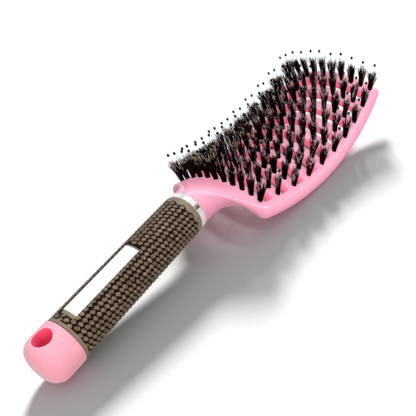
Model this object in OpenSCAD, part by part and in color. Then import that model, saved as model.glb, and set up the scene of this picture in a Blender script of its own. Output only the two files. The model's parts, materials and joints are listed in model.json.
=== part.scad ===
// Detangling brush for long hair.
// A vented head, hollow along its length and crowned across it, carries ten rows of
// bristle tufts with a ball-tipped pin in each. A rubber sleeve covers the handle,
// a metal ring closes it at the neck and a cap with a hang hole closes its end.
// The brush lies on its back: X runs from the cap to the head and the bristles point up.

/* [Handle] */
// Outer diameter of the rubber sleeve
grip_d = 22.5; // [21:0.5:25]
// Length of the rubber sleeve
grip_len = 83.1; // [70:0.1:100]
// Wall of the rubber sleeve
sleeve_wall = 2.4; // [2:0.1:3]
// Depth of the pebbled field below the collars
pebble_h = 0.35; // [0.2:0.05:0.6]
// Length of the smooth collar beside the ring
front_collar = 3.9; // [3:0.1:8]
// Length of the smooth collar beside the cap
rear_collar = 1.6; // [1.5:0.1:3]
// Running gap between the sleeve and the handle core
core_gap = 0.05; // [0.03:0.01:0.15]

/* [Ring] */
// Outer diameter of the metal ring
ring_d = 21.4; // [20.5:0.1:22.4]
// Width of the metal ring
ring_w = 3.2; // [2:0.1:4]
// Wall of the metal ring
ring_wall = 0.8; // [0.6:0.1:1.2]
// Radial gap between the ring and its seat
ring_gap = 0.05; // [0.03:0.01:0.15]

/* [End cap] */
// Diameter of the end cap
cap_d = 23.3; // [22:0.1:25]
// Length of the end cap
cap_len = 16.6; // [15.5:0.1:22]
// Radius of the cap's rounded end
cap_round = 7; // [5:0.1:8]
// Diameter of the hang hole
hole_d = 9; // [6:0.1:9.4]
// Distance from the cap's joint to the middle of the hang hole
hole_in = 7.8; // [7:0.1:9]
// Diameter of the spigot that holds the cap in the handle
spigot_d = 9; // [7:0.1:10]
// Length of the spigot
spigot_len = 10; // [6:0.5:14]
// Radial gap between the spigot and its socket
spigot_gap = 0.05; // [0.03:0.01:0.15]

/* [Label] */
// Length of the plain label plate
label_len = 40; // [30:0.5:50]
// Width of the plain label plate around the grip
label_w = 7.8; // [5:0.1:10]
// Thickness of the label plate
label_t = 0.5; // [0.4:0.1:0.7]
// Distance from the cap's joint to the label plate
label_in = 7; // [6:0.1:10]
// Width of the smooth border round the label plate
label_border = 1; // [0.6:0.1:1.5]
// Gap round the label plate
label_gap = 0.05; // [0.03:0.01:0.15]
// Turn of the label plate about the grip, in degrees
label_turn = 6; // [-10:1:10]

/* [Head] */
// Radius of the long hollow of the bristle face
face_r = 216; // [200:1:240]
// Radius of the crown across the bristle face
crown_r = 46.8; // [46:0.1:52]
// Distance from the ring to the middle of the first row
row_x = 24.7; // [22.5:0.1:28]
// Height of the middle of the first row above the handle's axis
row_z = 1; // [0:0.1:2]
// Fall of the bristle face at the first row, in degrees
row_fall = 19.2; // [17:0.1:21]
// Half width of the head at the shoulders, along the crown
edge_neck = 36; // [35.2:0.1:39]
// Half width of the head at its middle, along the crown
edge_mid = 41; // [40.4:0.1:43]
// Half width of the head at its far end, along the crown
edge_far = 37.6; // [37:0.1:39]
// Thickness of the side rails
rail_t = 5.8; // [5.4:0.1:6.6]
// Rise of the rail's crest above the bristle face
crest = 0.7; // [0.3:0.1:1.2]
// Distance from the last row to the far end
end_in = 6.6; // [6:0.1:9]
// Radius of the head's far corners
corner_r = 4.5; // [3.5:0.1:6]

/* [Neck] */
// Depth of the shallow hollow along the top of the neck
neck_dip = 1.2; // [0.4:0.1:1.5]
// Turn from the top of the ring to the ridges that bound the hollow, in degrees
ridge_turn = 18; // [15:1:30]

/* [Rows] */
// Tufts in each row
tuft_count = 11; // [9:2:11]
// Distance from row to row along the middle
row_pitch = 13.1; // [12.6:0.1:13.6]
// Half length of the first row, along the crown
row_neck = 26.7; // [25:0.1:27.5]
// Half length of the middle rows, along the crown
row_mid = 32.8; // [31:0.1:33.4]
// Half length of the last row, along the crown
row_far = 29.8; // [28:0.1:30]
// How far the ends of a row lie ahead of its middle
row_bow = 2.6; // [1:0.1:2.8]
// Width of the cross ribs that hold the tufts
rib_w = 7.4; // [7.2:0.1:8]
// Thickness of the cross ribs
rib_t = 4.4; // [4.2:0.1:5]
// How far the air slots run past the last tuft of a row
slot_over = 0; // [0:0.1:3.6]
// How far the flat of the bristle face runs past the last tuft of a row
rim_over = 3.4; // [3:0.1:3.6]

/* [Tufts] */
// Diameter of a drilled tuft hole
tuft_hole_d = 2.6; // [2.4:0.05:2.7]
// Depth of a drilled tuft hole
tuft_hole_depth = 3.4; // [3:0.1:3.5]
// Radial gap round a tuft's root
root_gap = 0.04; // [0.03:0.01:0.06]
// Length of a bristle lock above the face
bristle_len = 11.4; // [9:0.1:13]
// Width of a bristle lock at its root
lock_w = 0.66; // [0.5:0.02:0.7]
// Outward throw of a bristle lock at its tip
lock_throw = 1.25; // [0.8:0.05:1.6]
// Share of the crown's slope that the tufts follow
lean_share = 0.42; // [0.2:0.02:0.6]
// Backward lean of every tuft, in degrees
tuft_back = 2; // [0:0.5:4]

/* [Pins] */
// Height of a pin with its ball above the face
pin_len = 17.4; // [15:0.1:20]
// Width of a pin's shaft across its corners
pin_d = 0.6; // [0.5:0.05:0.7]
// Diameter of the ball on a pin
ball_d = 1.7; // [1.4:0.1:2]

/* [Hidden] */

// Rows of tufts, one for each pair of row names above
row_count = 10;
// One overrun for every cut
over = 0.6;
// Edge rounding of the sleeve and the cap's joint
soft_edge = 0.7;
// Edge rounding of the ring
ring_edge = 0.25;
// Step from the ring down to the neck
neck_step = 0.2;
// End clearance of the spigot in its socket
socket_end = 0.5;
// How far the handle core runs on into the neck
core_root = 3;
// How far past the middle of the first row the neck's curves end
shoulder_on = 1;
// Forward run of the neck along its middle, along its ridges and along its sides
neck_run = 13;
ridge_run = 8;
side_run = 28;
// Backward run of the shoulders along the middle and along the sides
deck_run = 7;
shoulder_run = 3;
// Lift of the underside of the neck towards the head
neck_lift = 3;
// Rise of a tuft's root above the face
root_rise = 0.45;
// Clearance below a tuft's root
root_end = 0.2;
// Distance of the bristle locks from the tuft's middle
lock_in = 0.78;
// How deep the locks start in the root
lock_root = 0.3;
// Height and throw of a lock's bend, and width of its tip
bend_share = 0.55;
bend_throw_share = 0.4;
tip_share = 0.45;
// Turn of the locks from tuft to tuft and from row to row, in degrees
tuft_twist = 47;
row_twist = 31;
// Share of the ridges' turn that leads to the inner rims
rim_share = 0.85;
// Turns from the bottom of the ring to the section's lower corners and rims, in degrees
corner_turn = 62;
rim_turn = 54;
// Turn at which the rounded far end is closed, in degrees
end_round = 80;

// Steps of the mould surface: across the face, round an edge, along neck and head
face_steps = 10;
edge_steps = 6;
neck_steps = 12;
head_steps = 22;
end_steps = 4;

grip_r = grip_d / 2;
core_r = grip_r - sleeve_wall - core_gap;
ring_r = ring_d / 2;
seat_r = ring_r - ring_wall - ring_gap;
neck_r = ring_r - neck_step;
cap_r = cap_d / 2;
joint_x = -ring_w - grip_len;
cap_end_x = joint_x - cap_len;
hole_x = joint_x - hole_in;
socket_r = spigot_d / 2 + spigot_gap;
socket_len = spigot_len + socket_end;

face_x = row_x + face_r * sin(row_fall);
face_z = row_z + face_r * cos(row_fall);
rail_half = (rail_t + crest) / 2;
root_r = tuft_hole_d / 2 - root_gap;

// Angle in degrees of a length along a circle
function turn_of(len, r) = len / r * 180 / PI;
// Curve through a first, a middle and a last value
function through(a, m, b, t) =
    a * (1 - t) * (1 - 2 * t) + 4 * m * t * (1 - t) + b * t * (2 * t - 1);
function mix(a, b, t) = a + (b - a) * t;

// Place of row k between the first, 0, and the last, 1
function row_share(k) = k / (row_count - 1);
function row_turn(k) = -row_fall + k * turn_of(row_pitch, face_r);
function rib_turn(k) = row_turn(k) + turn_of(row_bow, face_r) / 2;
function row_half(k) = through(row_neck, row_mid, row_far, row_share(k));
function share_at(turn) = (turn - row_turn(0)) / (row_turn(row_count - 1) - row_turn(0));
function edge_half(turn) = through(edge_neck, edge_mid, edge_far, share_at(turn));
function slot_half(k) = max(row_half(k), row_half(k + 1)) + slot_over;

// Point on the head: turn along the hollow, way across the crown, height over the face
function head_point(turn, across, h) =
    let (f = turn_of(across, crown_r),
         q = face_r + crown_r - (crown_r + h) * cos(f))
    [face_x + q * sin(turn), (crown_r + h) * sin(f), face_z - q * cos(turn)];

// Closed section of the mould: half width, half thickness and inner rim of the crest.
// Each entry is [way across, height, angle round the handle, way down the side].
function section(e, half, rim) =
    let (mid_h = crest - rail_half, top_h = mid_h + half, low_h = mid_h - half,
         flat = e - half, dip = (half / rail_half) * crest)
    concat(
        [[-flat, top_h, -ridge_turn, 0]],
        [for (i = [0 : face_steps])
            let (s = 2 * i / face_steps - 1) [s * rim, top_h - dip, s * ridge_turn * rim_share, 0]],
        [[flat, top_h, ridge_turn, 0]],
        [for (i = [1 : edge_steps - 1])
            let (a = 90 - 180 * i / edge_steps, down = i / edge_steps)
            [flat + half * cos(a), mid_h + half * sin(a),
             mix(ridge_turn, 180 - corner_turn, down), down]],
        [[flat, low_h, 180 - corner_turn, 1]],
        [for (i = [0 : face_steps])
            let (s = 1 - 2 * i / face_steps) [s * rim, low_h, 180 - s * rim_turn, 1]],
        [[-flat, low_h, 180 + corner_turn, 1]],
        [for (i = [1 : edge_steps - 1])
            let (a = 270 - 180 * i / edge_steps, up = i / edge_steps)
            [-flat + half * cos(a), mid_h + half * sin(a),
             mix(180 + corner_turn, 360 - ridge_turn, up), 1 - up]]
    );
function rim_at(e, turn) =
    min(e - rail_half - crest,
        through(row_neck, row_mid, row_far, share_at(turn)) + rim_over);

shoulder_turn = row_turn(0) + turn_of(shoulder_on, face_r);
end_turn = row_turn(row_count - 1) + turn_of(end_in - rail_half, face_r);

// The neck: each line of the section runs on a smooth curve from the round neck
function curve(p0, p1, p2, p3, t) =
    let (s = 1 - t)
    p0 * (s * s * s) + p1 * (3 * s * s * t) + p2 * (3 * s * t * t) + p3 * (t * t * t);
shoulder_edge = edge_half(shoulder_turn);
shoulder_section = section(shoulder_edge, rail_half, rim_at(shoulder_edge, shoulder_turn));
function neck_point(i, t) =
    let (s = shoulder_section[i],
         w = min(1, abs(s[0]) / (shoulder_edge - rail_half)),
         p0 = [0, neck_r * sin(s[2]), neck_r * cos(s[2])],
         p3 = head_point(shoulder_turn, s[0], s[1]),
         lead = mix(neck_run, mix(ridge_run, side_run, s[3]), w * w * w),
         back = mix(deck_run, shoulder_run * s[3], w * w),
         lift = neck_lift * max(0, -cos(s[2])),
         dip = s[3] > 0 ? 0 : neck_dip * sin(180 * t) * (1 - pow(s[2] / ridge_turn, 2)))
    curve(p0, p0 + [lead, 0, lift],
          p3 - back * [cos(shoulder_turn), 0, sin(shoulder_turn)] + [0, 0, lift], p3, t)
    - [0, 0, dip];

ring_size = len(shoulder_section);
neck_rings = [for (j = [0 : neck_steps - 1])
    [for (i = [0 : ring_size - 1]) neck_point(i, j / neck_steps)]];
head_rings = [for (j = [0 : head_steps])
    let (turn = mix(shoulder_turn, end_turn, j / head_steps), e = edge_half(turn))
    [for (s = section(e, rail_half, rim_at(e, turn))) head_point(turn, s[0], s[1])]];
end_rings = [for (j = [1 : end_steps])
    let (a = end_round * j / end_steps,
         turn = end_turn + turn_of(rail_half * sin(a), face_r),
         e = edge_half(end_turn) - corner_r * (1 - cos(a)),
         half = rail_half * cos(a))
    [for (s = section(e, half, rim_at(e - rail_half + half, end_turn)))
        head_point(turn, s[0], s[1])]];
mould_rings = concat(neck_rings, head_rings, end_rings);
mould_points = [for (r = mould_rings) each r];

// Side faces of a stack of rings with n points each
function side_faces(rings, n) =
    [for (j = [0 : rings - 2], i = [0 : n - 1])
        let (a = j * n + i, b = j * n + (i + 1) % n, c = a + n, d = b + n)
        each [[a, b, d], [a, d, c]]];
function fan_face(first, n) = [for (i = [1 : n - 2]) [first, first + i + 1, first + i]];
// The far end is closed with a strip from the upper line to the lower one
function end_faces(first) =
    let (m = face_steps + 2, p = first, q = first + 2 * m + edge_steps)
    concat(
        [for (i = [0 : m - 1])
            each [[p + i, p + i + 1, q - i - 1], [p + i, q - i - 1, q - i]]],
        [for (i = [0 : edge_steps - 2]) [p + m, p + m + 1 + i, p + m + 2 + i]],
        [for (i = [0 : edge_steps - 2]) [p, q + i, q + 1 + i]]
    );

// Where the brush rests: the line under the cap's round end and under the rails
cap_mid_x = cap_end_x + cap_round;
cap_low_z = cap_round - cap_r;
rest_turn = max([for (p = mould_points)
    let (x = p[0] - cap_mid_x, z = cap_low_z - p[2])
    atan2(z, x) - asin(min(1, cap_round / norm([x, z])))]);
rest_z = cap_round - (cap_mid_x * sin(rest_turn) + cap_low_z * cos(rest_turn));
low_x = cap_mid_x * cos(rest_turn) + cap_low_z * sin(rest_turn) - cap_round;
high_x = max([for (p = mould_points) p[0] * cos(rest_turn) - p[2] * sin(rest_turn)]);
rest_x = -(low_x + high_x) / 2;

// Puts the brush on its resting surface, with the middle of its box over the origin
module resting() {
    translate([rest_x, 0, rest_z])
    rotate([0, -rest_turn, 0])
    children();
}

// A revolved piece along the handle's axis, drawn as [radius, place along the axis]
module along_handle() {
    rotate([0, 90, 0])
    rotate_extrude($fn = 96)
    children();
}

// Flat outline of a bar from x0 to x1 with rounded outer edges
module bar_outline(r0, r1, x0, x1, edge) {
    translate([r0, x0]) square([r1 - r0 - edge, x1 - x0]);
    translate([r0, x0 + edge]) square([r1 - r0, x1 - x0 - 2 * edge]);
    translate([r1 - edge, x0 + edge]) circle(r = edge, $fn = 32);
    translate([r1 - edge, x1 - edge]) circle(r = edge, $fn = 32);
}

// A piece of the head swept round the long hollow between two turns
module along_hollow(turn0, turn1) {
    translate([face_x, 0, face_z])
    rotate([90, 90 - turn0, 0])
    rotate_extrude(angle = turn1 - turn0, $fn = 360)
    children();
}

// Section of a layer of the crown between two heights, out to a half width
module crown_layer(h0, h1, half) {
    f = turn_of(half, crown_r);
    reach = 2 * crown_r;
    intersection() {
        translate([face_r + crown_r, 0])
        difference() {
            circle(r = crown_r + h1, $fn = 180);
            circle(r = crown_r + h0, $fn = 180);
        }
        translate([face_r + crown_r, 0])
        polygon([[0, 0], [-reach * cos(f), reach * sin(f)], [-reach * cos(f), -reach * sin(f)]]);
    }
}

// Places of the tufts
function tuft_share(j) = 2 * j / (tuft_count - 1) - 1;
function tuft_turn(k, j) = row_turn(k) + turn_of(row_bow, face_r) * pow(tuft_share(j), 2);
module at_tuft(k, j) {
    across = row_half(k) * tuft_share(j);
    translate(head_point(tuft_turn(k, j), across, 0))
    rotate([-turn_of(across, crown_r) * lean_share, -tuft_back, 0])
    children();
}
module row_holes(k) {
    for (j = [0 : tuft_count - 1])
        at_tuft(k, j)
        translate([0, 0, -tuft_hole_depth])
        cylinder(r = tuft_hole_d / 2, h = tuft_hole_depth + crest + over, $fn = 24);
}

// The air slot between row k and the next one
module slot(k) {
    half_turn = turn_of(rib_w / 2, face_r);
    along_hollow(rib_turn(k) + half_turn, rib_turn(k + 1) - half_turn)
        crown_layer(-rail_t - over, crest + over, slot_half(k));
}

// The cut under cross rib k that leaves it thinner than the rails
module relief(k) {
    half_turn = turn_of(rib_w / 2 + over, face_r);
    along_hollow(rib_turn(k) - half_turn, rib_turn(k) + half_turn)
        crown_layer(-rail_t - over, -rib_t, min(slot_half(k - 1), slot_half(k)));
}

module head_frame() {
    color("#f7a8bf")
    resting()
    difference() {
        union() {
            polyhedron(
                points = mould_points,
                faces = concat(
                    fan_face(0, ring_size),
                    side_faces(len(mould_rings), ring_size),
                    end_faces((len(mould_rings) - 1) * ring_size)),
                convexity = 8);
            along_handle() translate([0, -ring_w]) square([seat_r, ring_w + core_root]);
            along_handle() translate([0, joint_x]) square([core_r, grip_len + ring_w]);
        }
        for (k = [0 : row_count - 2]) slot(k);
        for (k = [1 : row_count - 2]) relief(k);
        for (k = [0 : row_count - 1]) row_holes(k);
        along_handle() translate([0, joint_x - over]) square([socket_r, socket_len + over]);
    }
}

// Arc-shaped layer of the grip round the label's middle
module label_layer(r0, r1, half, x0, x1) {
    f = turn_of(half, grip_r);
    rotate([label_turn, 0, 0])
    rotate([0, 90, 0])
    rotate([0, 0, 180 - f])
    rotate_extrude(angle = 2 * f, $fn = 96)
    translate([r0, x0])
    square([r1 - r0, x1 - x0]);
}

label_x1 = joint_x + label_in;
label_x2 = label_x1 + label_len;
label_floor = grip_r - label_t;

module grip_sleeve() {
    field_r = grip_r - pebble_h;
    color("#7c6f5e")
    resting()
    difference() {
        union() {
            along_handle()
            difference() {
                union() {
                    bar_outline(core_r, grip_r, joint_x, joint_x + rear_collar, soft_edge);
                    bar_outline(core_r, field_r, joint_x, -ring_w, soft_edge);
                    bar_outline(core_r, grip_r, -ring_w - front_collar, -ring_w, soft_edge);
                }
                translate([0, joint_x - over]) square([core_r + core_gap, grip_len + 2 * over]);
            }
            label_layer(core_r + core_gap + sleeve_wall / 2, grip_r,
                label_w / 2 + label_border, label_x1 - label_border, label_x2 + label_border);
        }
        label_layer(label_floor - label_gap, grip_r + over, label_w / 2 + label_gap,
            label_x1 - label_gap, label_x2 + label_gap);
    }
}

module ferrule_ring() {
    color("#e6e3e1")
    resting()
    along_handle()
    difference() {
        bar_outline(seat_r, ring_r, -ring_w, 0, ring_edge);
        translate([0, -ring_w - over]) square([seat_r + ring_gap, ring_w + 2 * over]);
    }
}

module end_cap() {
    color("#f7a8bf")
    resting()
    difference() {
        union() {
            along_handle() {
                translate([0, cap_end_x]) square([cap_r - cap_round, cap_len]);
                translate([0, cap_mid_x]) square([cap_r, cap_len - cap_round - soft_edge]);
                translate([0, joint_x - soft_edge]) square([cap_r - soft_edge, soft_edge]);
                intersection() {
                    translate([cap_r - cap_round, cap_mid_x]) circle(r = cap_round, $fn = 96);
                    translate([0, cap_end_x]) square([cap_r, cap_round]);
                }
                translate([cap_r - soft_edge, joint_x - soft_edge]) circle(r = soft_edge, $fn = 32);
            }
            along_handle() translate([0, joint_x - soft_edge])
                square([spigot_d / 2, spigot_len + soft_edge]);
        }
        translate([hole_x, 0, 0]) cylinder(d = hole_d, h = 2 * cap_d, center = true, $fn = 72);
    }
}

module label_plate() {
    color("white")
    resting()
    label_layer(label_floor, grip_r, label_w / 2, label_x1, label_x2);
}

// One bristle lock with three sides, bent outward, standing in the tuft's root
module lock() {
    r = lock_w / sqrt(3);
    z_low = root_rise - lock_root;
    z_bend = mix(root_rise, bristle_len, bend_share);
    function ring(out, z, size) = [for (a = [0, -120, -240]) [out + size * cos(a), size * sin(a), z]];
    polyhedron(
        points = concat(
            ring(lock_in, z_low, r),
            ring(lock_in + lock_throw * bend_throw_share, z_bend, r),
            ring(lock_in + lock_throw, bristle_len, r * tip_share)),
        faces = concat([[0, 2, 1]], side_faces(3, 3), [[6, 7, 8]]),
        convexity = 2);
}

module bristle_row(k) {
    color("#2a1b18")
    resting()
    for (j = [0 : tuft_count - 1])
        at_tuft(k, j) {
            translate([0, 0, root_end - tuft_hole_depth])
                cylinder(r = root_r, h = tuft_hole_depth - root_end + root_rise, $fn = 24);
            for (i = [0 : 2]) rotate(120 * i + tuft_twist * j + row_twist * k) lock();
        }
}

module pin_row(k) {
    color("#181516")
    resting()
    for (j = [0 : tuft_count - 1])
        at_tuft(k, j) {
            translate([0, 0, root_rise])
                cylinder(d = pin_d, h = pin_len - root_rise - ball_d / 2, $fn = 4);
            translate([0, 0, pin_len - ball_d / 2]) sphere(d = ball_d, $fn = 24);
        }
}

head_frame();
grip_sleeve();
ferrule_ring();
end_cap();
label_plate();
bristle_row(0);  // bristle_row_01
bristle_row(1);  // bristle_row_02
bristle_row(2);  // bristle_row_03
bristle_row(3);  // bristle_row_04
bristle_row(4);  // bristle_row_05
bristle_row(5);  // bristle_row_06
bristle_row(6);  // bristle_row_07
bristle_row(7);  // bristle_row_08
bristle_row(8);  // bristle_row_09
bristle_row(9);  // bristle_row_10
pin_row(0);  // pin_row_01
pin_row(1);  // pin_row_02
pin_row(2);  // pin_row_03
pin_row(3);  // pin_row_04
pin_row(4);  // pin_row_05
pin_row(5);  // pin_row_06
pin_row(6);  // pin_row_07
pin_row(7);  // pin_row_08
pin_row(8);  // pin_row_09
pin_row(9);  // pin_row_10
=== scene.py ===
import json
import math
import random

import bmesh
import bpy
from mathutils import Euler, Matrix, Vector

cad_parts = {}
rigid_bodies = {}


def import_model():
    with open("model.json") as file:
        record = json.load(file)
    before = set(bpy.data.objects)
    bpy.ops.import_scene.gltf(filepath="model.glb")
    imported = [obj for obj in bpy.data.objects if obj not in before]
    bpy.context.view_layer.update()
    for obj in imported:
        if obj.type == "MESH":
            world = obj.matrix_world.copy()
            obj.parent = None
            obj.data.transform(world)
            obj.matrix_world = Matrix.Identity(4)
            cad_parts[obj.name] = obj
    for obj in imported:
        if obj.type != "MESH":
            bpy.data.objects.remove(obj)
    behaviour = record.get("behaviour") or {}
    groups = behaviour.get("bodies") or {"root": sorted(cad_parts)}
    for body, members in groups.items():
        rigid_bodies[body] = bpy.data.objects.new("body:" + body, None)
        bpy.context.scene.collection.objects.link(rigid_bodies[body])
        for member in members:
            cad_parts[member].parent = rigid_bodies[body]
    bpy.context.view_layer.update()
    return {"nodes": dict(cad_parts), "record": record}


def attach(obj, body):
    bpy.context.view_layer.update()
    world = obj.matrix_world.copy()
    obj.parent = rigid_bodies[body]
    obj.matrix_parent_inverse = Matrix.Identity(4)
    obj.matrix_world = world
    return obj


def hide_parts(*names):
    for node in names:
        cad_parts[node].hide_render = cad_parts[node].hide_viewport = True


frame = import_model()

scene = bpy.context.scene
dice = random.Random(11)

# Sizes in millimetres, in the handle's frame: X runs from the ring to the head, Z up the bristles
MM = 0.001
GRIP_R = 11.25
GRIP_LEN = 83.1
FIELD_R = 10.78
FRONT_COLLAR = 3.65
REAR_COLLAR = 1.75
RING_W = 3.2
RING_R = 10.7
RING_SEAT = 9.85
RING_EDGE = 0.25
NECK_R = 10.5
CAP_R = 11.65
CAP_LEN = 16.6
CAP_ROUND = 7.0
CAP_EDGE = 0.7
HOLE_R = 4.5
HOLE_X = -94.1
HOLE_FILLET = 0.6
JOINT_X = -RING_W - GRIP_LEN
CAP_END_X = JOINT_X - CAP_LEN
LABEL_LEN = 40.0
LABEL_W = 7.8
LABEL_X1 = JOINT_X + 7.0
LABEL_X2 = LABEL_X1 + LABEL_LEN
LABEL_TURN = math.radians(6)

FACE_R = 216.0
CROWN_R = 46.8
ROW_X = 24.7
ROW_Z = 1.0
ROW_FALL = math.radians(19.2)
EDGE_HALF = (36.0, 41.0, 37.6)
ROW_HALF = (26.7, 32.8, 29.8)
RAIL_T = 5.8
CREST = 0.7
END_IN = 6.6
CORNER_R = 2.2
ROWS = 10
TUFTS = 11
ROW_PITCH = 13.1
ROW_BOW = 2.6
RIB_W = 7.4
RIB_T = 4.4
RIM_OVER = 3.4
FACE_X = ROW_X + FACE_R * math.sin(ROW_FALL)
FACE_Z = ROW_Z + FACE_R * math.cos(ROW_FALL)
RAIL_HALF = (RAIL_T + CREST) / 2
RAIL_WIDE = 1.55

LEAN_SHARE = 0.42
TUFT_BACK = math.radians(2)
BRISTLE_LEN = 11.9
PIN_LEN = 17.4
PIN_R = 0.27
BALL_R = 0.85

# The resting tilt comes from the hang hole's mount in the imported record
hang = frame["record"]["mounts"][0]
TILT = math.atan2(-hang["axis"][0], hang["axis"][2])
TILT_C, TILT_S = math.cos(TILT), math.sin(TILT)
REST_X = hang["pos_m"][0] / MM - HOLE_X * TILT_C
REST_Z = hang["pos_m"][2] / MM - HOLE_X * TILT_S
TO_ROW = Matrix.Scale(MM, 4) @ Matrix.Translation((REST_X, 0, REST_Z)) @ Matrix.Rotation(-TILT, 4, "Y")


# Shape of the head, as functions of the way along its hollow and across its crown
def through(values, t):
    first, middle, last = values
    return first * (1 - t) * (1 - 2 * t) + 4 * middle * t * (1 - t) + last * t * (2 * t - 1)


def mix(a, b, t):
    return a + (b - a) * t


def row_turn(k):
    return -ROW_FALL + k * ROW_PITCH / FACE_R


def rib_turn(k):
    return row_turn(k) + ROW_BOW / FACE_R / 2


def share_at(turn):
    return (turn - row_turn(0)) / (row_turn(ROWS - 1) - row_turn(0))


def edge_half(turn):
    return through(EDGE_HALF, share_at(turn))


def row_half(k):
    return through(ROW_HALF, k / (ROWS - 1))


def rim_at(edge, turn):
    return min(edge - RAIL_WIDE * RAIL_HALF - CREST, through(ROW_HALF, share_at(turn)) + RIM_OVER)


def head_point(turn, across, height):
    """Point on the curved head: turn along its hollow, way across its crown, height over its face."""
    f = across / CROWN_R
    q = FACE_R + CROWN_R - (CROWN_R + height) * math.cos(f)
    return Vector((FACE_X + q * math.sin(turn), (CROWN_R + height) * math.sin(f),
                   FACE_Z - q * math.cos(turn)))


# Finished pieces
def shaded(mesh, sharp=None):
    mesh.shade_smooth()
    if sharp is not None:
        mesh.set_sharp_from_angle(angle=math.radians(sharp))


def piece(bm, name, finishes, stands_for=(), sharp=None, turn_out=True):
    """Makes a finished piece from a mesh in millimetres, and puts it where the brush lies."""
    if turn_out:
        bmesh.ops.recalc_face_normals(bm, faces=bm.faces)
    mesh = bpy.data.meshes.new(name)
    bm.to_mesh(mesh)
    bm.free()
    mesh.transform(TO_ROW)
    shaded(mesh, sharp)
    for finish in finishes:
        mesh.materials.append(finish)
    made = bpy.data.objects.new(name, mesh)
    scene.collection.objects.link(made)
    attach(made, "root")
    if stands_for:
        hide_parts(*stands_for)
    return made


def kept(bm):
    """A mesh set aside as a pattern or a cutter."""
    mesh = bpy.data.meshes.new("pattern")
    bm.to_mesh(mesh)
    bm.free()
    return mesh


# Node groups shared by the finishes
def new_group(name, inputs, outputs):
    group = bpy.data.node_groups.new(name, "ShaderNodeTree")
    for label, kind, value in inputs:
        socket = group.interface.new_socket(label, in_out="INPUT", socket_type=kind)
        if value is not None:
            socket.default_value = value
    for label, kind in outputs:
        group.interface.new_socket(label, in_out="OUTPUT", socket_type=kind)
    return group, group.nodes.new("NodeGroupInput"), group.nodes.new("NodeGroupOutput")


def join(tree, *pairs):
    for out, into in pairs:
        tree.links.new(out, into)


def mottle_group():
    """Soft patches and a fine grain: Patch mixes two colours, Height is the grain for a bump."""
    group, start, end = new_group(
        "mottle",
        [("Vector", "NodeSocketVector", None), ("Patch Scale", "NodeSocketFloat", 60.0),
         ("Grain Scale", "NodeSocketFloat", 900.0), ("Grain", "NodeSocketFloat", 0.5)],
        [("Patch", "NodeSocketFloat"), ("Height", "NodeSocketFloat")])
    patch = group.nodes.new("ShaderNodeTexNoise")
    patch.inputs["Detail"].default_value = 3.0
    grain = group.nodes.new("ShaderNodeTexNoise")
    grain.inputs["Detail"].default_value = 2.0
    sharpen = group.nodes.new("ShaderNodeMapRange")
    sharpen.inputs["From Min"].default_value = 0.3
    sharpen.inputs["From Max"].default_value = 0.7
    scale = group.nodes.new("ShaderNodeMath")
    scale.operation = "MULTIPLY"
    join(group,
         (start.outputs["Vector"], patch.inputs["Vector"]),
         (start.outputs["Patch Scale"], patch.inputs["Scale"]),
         (start.outputs["Vector"], grain.inputs["Vector"]),
         (start.outputs["Grain Scale"], grain.inputs["Scale"]),
         (patch.outputs["Fac"], sharpen.inputs["Value"]), (sharpen.outputs["Result"], end.inputs["Patch"]),
         (grain.outputs["Fac"], scale.inputs[0]), (start.outputs["Grain"], scale.inputs[1]),
         (scale.outputs["Value"], end.inputs["Height"]))
    return group


MOTTLE = mottle_group()


def base_material(name, colour, rough, **sockets):
    made = bpy.data.materials.new(name)
    made.use_nodes = True
    made.diffuse_color = (*colour, 1)
    shader = made.node_tree.nodes["Principled BSDF"]
    shader.inputs["Base Color"].default_value = (*colour, 1)
    shader.inputs["Roughness"].default_value = rough
    for label, value in sockets.items():
        shader.inputs[label.replace("_", " ")].default_value = value
    return made, made.node_tree, shader


def mottled(tree, shader, light, dark, rough, patch_scale, grain_scale, grain, bump, bump_mm):
    """Patches of two colours and roughnesses over a fine grain. Returns the node that mixes the colours."""
    coords = tree.nodes.new("ShaderNodeTexCoord")
    spots = tree.nodes.new("ShaderNodeGroup")
    spots.node_tree = MOTTLE
    spots.inputs["Patch Scale"].default_value = patch_scale
    spots.inputs["Grain Scale"].default_value = grain_scale
    spots.inputs["Grain"].default_value = grain
    tint = tree.nodes.new("ShaderNodeMix")
    tint.data_type = "RGBA"
    tint.inputs["A"].default_value = (*dark, 1)
    tint.inputs["B"].default_value = (*light, 1)
    sheen = tree.nodes.new("ShaderNodeMapRange")
    sheen.inputs["To Min"].default_value = rough[0]
    sheen.inputs["To Max"].default_value = rough[1]
    raised = tree.nodes.new("ShaderNodeBump")
    raised.inputs["Strength"].default_value = bump
    raised.inputs["Distance"].default_value = bump_mm * MM
    join(tree,
         (coords.outputs["Object"], spots.inputs["Vector"]),
         (spots.outputs["Patch"], tint.inputs["Factor"]),
         (tint.outputs["Result"], shader.inputs["Base Color"]),
         (spots.outputs["Patch"], sheen.inputs["Value"]),
         (sheen.outputs["Result"], shader.inputs["Roughness"]),
         (spots.outputs["Height"], raised.inputs["Height"]),
         (raised.outputs["Normal"], shader.inputs["Normal"]))
    return tint


# Lighter pink of the painted highlight along the mould's crests and the hang hole's rim
HIGHLIGHT_PINK = (1.0, 0.66, 0.77)


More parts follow.
